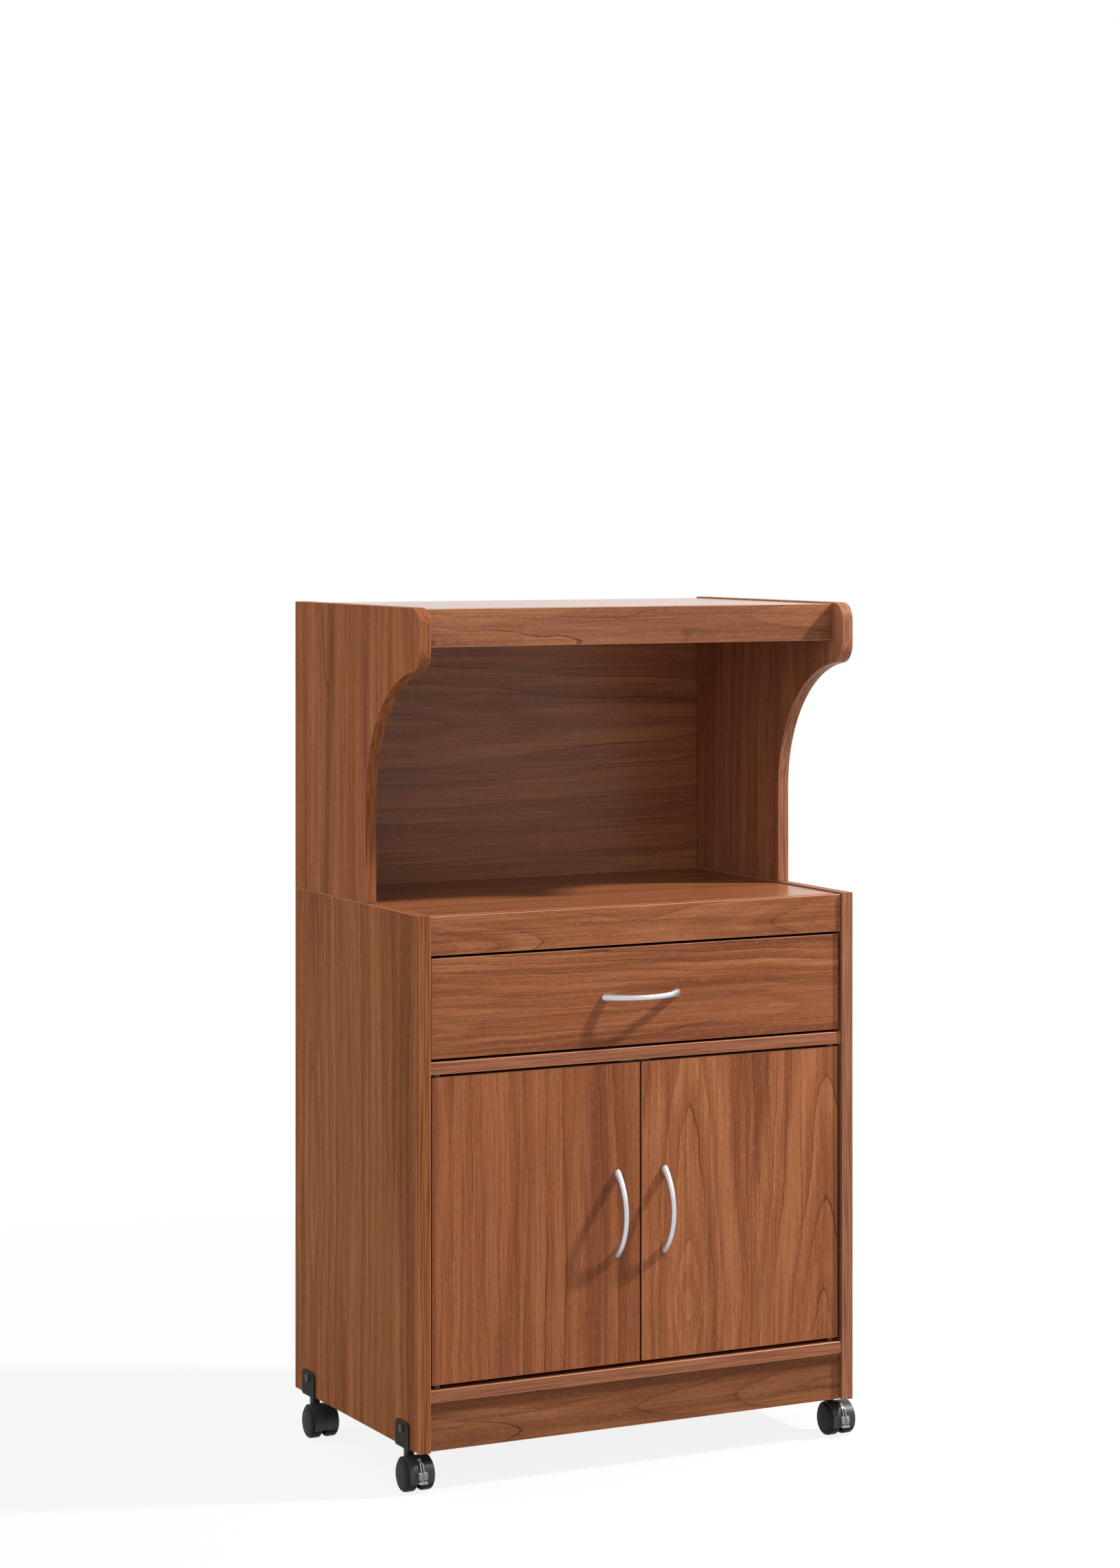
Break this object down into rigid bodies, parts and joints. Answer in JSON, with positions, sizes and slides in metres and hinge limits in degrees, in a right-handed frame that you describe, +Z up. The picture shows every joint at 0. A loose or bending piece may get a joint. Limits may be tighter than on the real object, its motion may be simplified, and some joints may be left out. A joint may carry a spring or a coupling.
{
  "type": "microwave cart",
  "caption": "Rolling kitchen cart: an open hutch with curved sides over a base that has a drawer, a cupboard with hinged doors, bow handles and swivel casters.",
  "frame": {"origin": "on the floor, under the middle of the cart's overall width and depth", "axes": "+Z up, +X to the cart's right as seen from the front, the front with the doors and the drawer faces -Y"},
  "size_m": [0.6234, 0.4262, 1.0642],
  "materials": {
    "wood_board": "reddish-brown cherry laminate with a satin gloss, grain vertical on sides and doors and horizontal on apron, drawer front, fascia and kick panel",
    "hardboard": "thin laminated hardboard, same colour as the boards",
    "satin_metal": "satin silver",
    "black_steel": "black powder coat",
    "black_plastic": "black moulded",
    "wheel_plastic": "black moulded, slightly glossy face",
    "lever_plastic": "grey moulded",
    "slide_steel": "brown epoxy coat",
    "plain_steel": "zinc-plated",
    "nylon": "natural white nylon",
    "catch_plastic": "grey moulded"
  },
  "bodies": {
    "cabinet": {"base_side_left": "wood_board", "base_side_right": "wood_board", "worktop": "wood_board", "worktop_apron": "wood_board", "divider_shelf": "wood_board", "base_bottom": "wood_board", "kick_panel": "wood_board", "base_back": "hardboard", "hutch_side_left": "wood_board", "hutch_side_right": "wood_board", "hutch_top": "wood_board", "hutch_fascia": "wood_board", "hutch_back": "hardboard", "door_catch": "catch_plastic", "slide_cabinet_left": "slide_steel", "slide_cabinet_right": "slide_steel", "caster_bracket_front_left": "black_steel", "bracket_screw_front_left": "black_steel", "caster_bracket_front_right": "black_steel", "bracket_screw_front_right": "black_steel", "caster_bracket_rear_left": "black_steel", "bracket_screw_rear_left": "black_steel", "caster_bracket_rear_right": "black_steel", "bracket_screw_rear_right": "black_steel"},
    "drawer": {"drawer_front": "wood_board", "drawer_side_left": "wood_board", "drawer_side_right": "wood_board", "drawer_back": "wood_board", "drawer_bottom": "hardboard", "drawer_handle": "satin_metal", "slide_drawer_left": "slide_steel", "slide_drawer_right": "slide_steel"},
    "door_left": {"door_left": "wood_board", "door_handle_left": "satin_metal", "door_pin_top_left": "nylon", "door_pin_bottom_left": "nylon", "door_strike_left": "plain_steel"},
    "door_right": {"door_right": "wood_board", "door_handle_right": "satin_metal", "door_pin_top_right": "nylon", "door_pin_bottom_right": "nylon", "door_strike_right": "plain_steel"},
    "roller_front_left": {"slide_roller_front_left": "nylon"},
    "roller_rear_left": {"slide_roller_rear_left": "nylon"},
    "roller_front_right": {"slide_roller_front_right": "nylon"},
    "roller_rear_right": {"slide_roller_rear_right": "nylon"},
    "caster_front_left": {"caster_housing_front_left": "black_plastic"},
    "wheel_left_front_left": {"caster_wheel_left_front_left": "wheel_plastic"},
    "wheel_right_front_left": {"caster_wheel_right_front_left": "wheel_plastic"},
    "brake_front_left": {"brake_lever_front_left": "lever_plastic"},
    "caster_front_right": {"caster_housing_front_right": "black_plastic"},
    "wheel_left_front_right": {"caster_wheel_left_front_right": "wheel_plastic"},
    "wheel_right_front_right": {"caster_wheel_right_front_right": "wheel_plastic"},
    "brake_front_right": {"brake_lever_front_right": "lever_plastic"},
    "caster_rear_left": {"caster_housing_rear_left": "black_plastic"},
    "wheel_left_rear_left": {"caster_wheel_left_rear_left": "wheel_plastic"},
    "wheel_right_rear_left": {"caster_wheel_right_rear_left": "wheel_plastic"},
    "caster_rear_right": {"caster_housing_rear_right": "black_plastic"},
    "wheel_left_rear_right": {"caster_wheel_left_rear_right": "wheel_plastic"},
    "wheel_right_rear_right": {"caster_wheel_right_rear_right": "wheel_plastic"}
  },
  "joints": [
    {"name": "drawer_slide", "type": "slide", "parent": "cabinet", "child": "drawer", "axis": [0, -1, 0], "range_m": [0, 0.26]},
    {"name": "door_left_hinge", "type": "hinge", "parent": "cabinet", "child": "door_left", "pos_m": [-0.2728, -0.1771, 0.31435], "axis": [0, 0, -1], "range_deg": [0, 105]},
    {"name": "door_right_hinge", "type": "hinge", "parent": "cabinet", "child": "door_right", "pos_m": [0.2728, -0.1771, 0.31435], "axis": [0, 0, 1], "range_deg": [0, 105]},
    {"name": "roller_front_left_spin", "type": "hinge", "parent": "cabinet", "child": "roller_front_left", "pos_m": [-0.2796, -0.1566, 0.53415], "axis": [1, 0, 0], "range_deg": [0, 1870]},
    {"name": "roller_rear_left_spin", "type": "hinge", "parent": "drawer", "child": "roller_rear_left", "pos_m": [-0.2774, 0.1714, 0.53415], "axis": [1, 0, 0], "range_deg": [0, 1870]},
    {"name": "roller_front_right_spin", "type": "hinge", "parent": "cabinet", "child": "roller_front_right", "pos_m": [0.2796, -0.1566, 0.53415], "axis": [1, 0, 0], "range_deg": [0, 1870]},
    {"name": "roller_rear_right_spin", "type": "hinge", "parent": "drawer", "child": "roller_rear_right", "pos_m": [0.2774, 0.1714, 0.53415], "axis": [1, 0, 0], "range_deg": [0, 1870]},
    {"name": "caster_front_left_swivel", "type": "hinge", "parent": "cabinet", "child": "caster_front_left", "pos_m": [-0.2925, -0.1411, 0.0388], "axis": [0, 0, 1], "continuous": true},
    {"name": "wheel_left_front_left_spin", "type": "hinge", "parent": "caster_front_left", "child": "wheel_left_front_left", "pos_m": [-0.3037, -0.1601, 0.02029], "axis": [1, 0, 0], "continuous": true},
    {"name": "wheel_right_front_left_spin", "type": "hinge", "parent": "caster_front_left", "child": "wheel_right_front_left", "pos_m": [-0.2813, -0.1601, 0.02029], "axis": [1, 0, 0], "continuous": true},
    {"name": "brake_front_left_hinge", "type": "hinge", "parent": "caster_front_left", "child": "brake_front_left", "pos_m": [-0.2925, -0.16778, 0.03259], "axis": [-1, 0, 0], "range_deg": [0, 15]},
    {"name": "caster_front_right_swivel", "type": "hinge", "parent": "cabinet", "child": "caster_front_right", "pos_m": [0.2925, -0.1411, 0.0388], "axis": [0, 0, 1], "continuous": true},
    {"name": "wheel_left_front_right_spin", "type": "hinge", "parent": "caster_front_right", "child": "wheel_left_front_right", "pos_m": [0.2813, -0.1601, 0.02029], "axis": [1, 0, 0], "continuous": true},
    {"name": "wheel_right_front_right_spin", "type": "hinge", "parent": "caster_front_right", "child": "wheel_right_front_right", "pos_m": [0.3037, -0.1601, 0.02029], "axis": [1, 0, 0], "continuous": true},
    {"name": "brake_front_right_hinge", "type": "hinge", "parent": "caster_front_right", "child": "brake_front_right", "pos_m": [0.2925, -0.16778, 0.03259], "axis": [-1, 0, 0], "range_deg": [0, 15]},
    {"name": "caster_rear_left_swivel", "type": "hinge", "parent": "cabinet", "child": "caster_rear_left", "pos_m": [-0.2925, 0.1609, 0.0388], "axis": [0, 0, 1], "continuous": true},
    {"name": "wheel_left_rear_left_spin", "type": "hinge", "parent": "caster_rear_left", "child": "wheel_left_rear_left", "pos_m": [-0.3037, 0.1419, 0.02029], "axis": [1, 0, 0], "continuous": true},
    {"name": "wheel_right_rear_left_spin", "type": "hinge", "parent": "caster_rear_left", "child": "wheel_right_rear_left", "pos_m": [-0.2813, 0.1419, 0.02029], "axis": [1, 0, 0], "continuous": true},
    {"name": "caster_rear_right_swivel", "type": "hinge", "parent": "cabinet", "child": "caster_rear_right", "pos_m": [0.2925, 0.1609, 0.0388], "axis": [0, 0, 1], "continuous": true},
    {"name": "wheel_left_rear_right_spin", "type": "hinge", "parent": "caster_rear_right", "child": "wheel_left_rear_right", "pos_m": [0.2813, 0.1419, 0.02029], "axis": [1, 0, 0], "continuous": true},
    {"name": "wheel_right_rear_right_spin", "type": "hinge", "parent": "caster_rear_right", "child": "wheel_right_rear_right", "pos_m": [0.3037, 0.1419, 0.02029], "axis": [1, 0, 0], "continuous": true}
  ],
  "couplings": [
    {"joint": "roller_front_left_spin", "follows": "drawer_slide", "rad_per_m": 125},
    {"joint": "roller_rear_left_spin", "follows": "drawer_slide", "rad_per_m": 125},
    {"joint": "roller_front_right_spin", "follows": "drawer_slide", "rad_per_m": 125},
    {"joint": "roller_rear_right_spin", "follows": "drawer_slide", "rad_per_m": 125}
  ]
}
